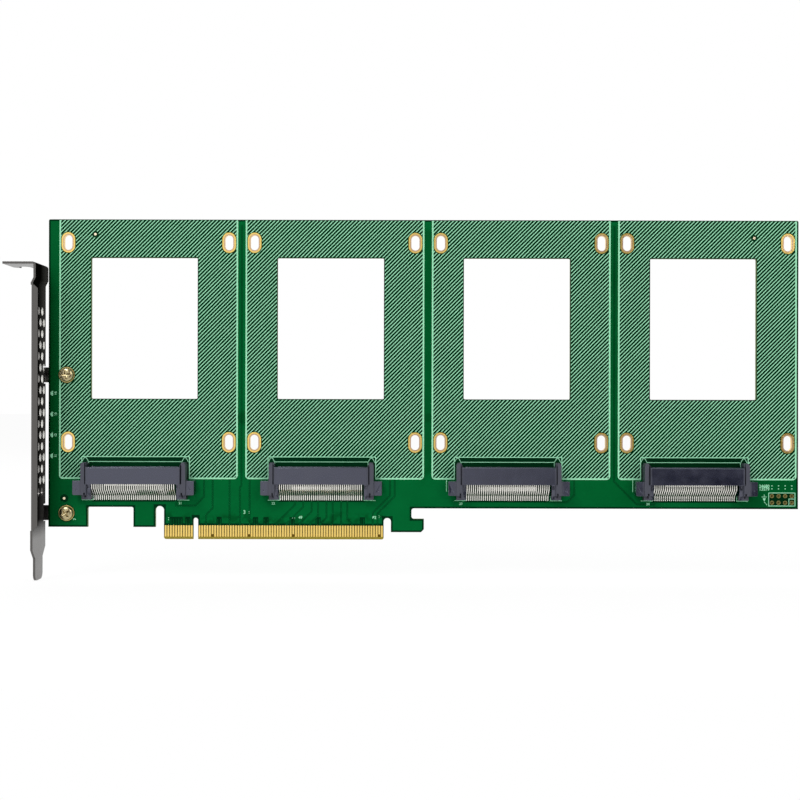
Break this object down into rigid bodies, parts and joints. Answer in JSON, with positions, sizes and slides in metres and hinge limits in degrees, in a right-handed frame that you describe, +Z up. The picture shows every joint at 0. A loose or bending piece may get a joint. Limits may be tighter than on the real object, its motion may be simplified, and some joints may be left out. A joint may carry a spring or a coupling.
{
  "type": "nvme adapter card",
  "caption": "Long expansion card with a row of upright drive bays, each with a socket, a window and slotted screw holes, and a folded vented bracket at one end.",
  "frame": {"origin": "middle of the key notch, on the lower end of the card edge, half way through the board", "axes": "+X along the board away from the bracket, +Y from the component side to the solder side, +Z up, out of the expansion slot"},
  "size_m": [0.3015, 0.0184, 0.1376],
  "materials": {
    "board_green": "green solder mask over laid copper, semi gloss",
    "contact_gold": "gold plated copper",
    "white_ink": "screen printed ink, matt",
    "socket_plastic": "moulded plastic, fine grain",
    "tinned_lead": "tinned copper alloy",
    "bracket_steel": "plated steel sheet",
    "screw_steel": "nickel plated steel",
    "chip_black": "moulded compound",
    "capacitor_case": "moulded case",
    "capacitor_ceramic": "fired ceramic with tinned ends",
    "light_lens": "clear moulded lens"
  },
  "bodies": {
    "root": {"alignment_discs": "contact_gold", "bay_1_print": "white_ink", "bay_1_slot_plating": "contact_gold", "bay_2_print": "white_ink", "bay_2_slot_plating": "contact_gold", "bay_3_print": "white_ink", "bay_3_slot_plating": "contact_gold", "bay_4_print": "white_ink", "bay_4_slot_plating": "contact_gold", "board": "board_green", "bracket_screw_lower": "screw_steel", "bracket_screw_upper": "screw_steel", "bulk_capacitors": "capacitor_case", "clock_buffer": "chip_black", "coupling_capacitors": "capacitor_ceramic", "edge_contacts_back": "contact_gold", "edge_contacts_front": "contact_gold", "fine_print": "white_ink", "header_plating": "contact_gold", "io_bracket": "bracket_steel", "light_resistors": "chip_black", "screw_hole_plating": "contact_gold", "socket_1_body": "socket_plastic", "socket_1_hold_downs": "tinned_lead", "socket_1_inner_leads": "tinned_lead", "socket_1_outer_leads": "tinned_lead", "socket_2_body": "socket_plastic", "socket_2_hold_downs": "tinned_lead", "socket_2_inner_leads": "tinned_lead", "socket_2_outer_leads": "tinned_lead", "socket_3_body": "socket_plastic", "socket_3_hold_downs": "tinned_lead", "socket_3_inner_leads": "tinned_lead", "socket_3_outer_leads": "tinned_lead", "socket_4_body": "socket_plastic", "socket_4_hold_downs": "tinned_lead", "socket_4_inner_leads": "tinned_lead", "socket_4_outer_leads": "tinned_lead", "status_lights": "light_lens"}
  },
  "joints": []
}
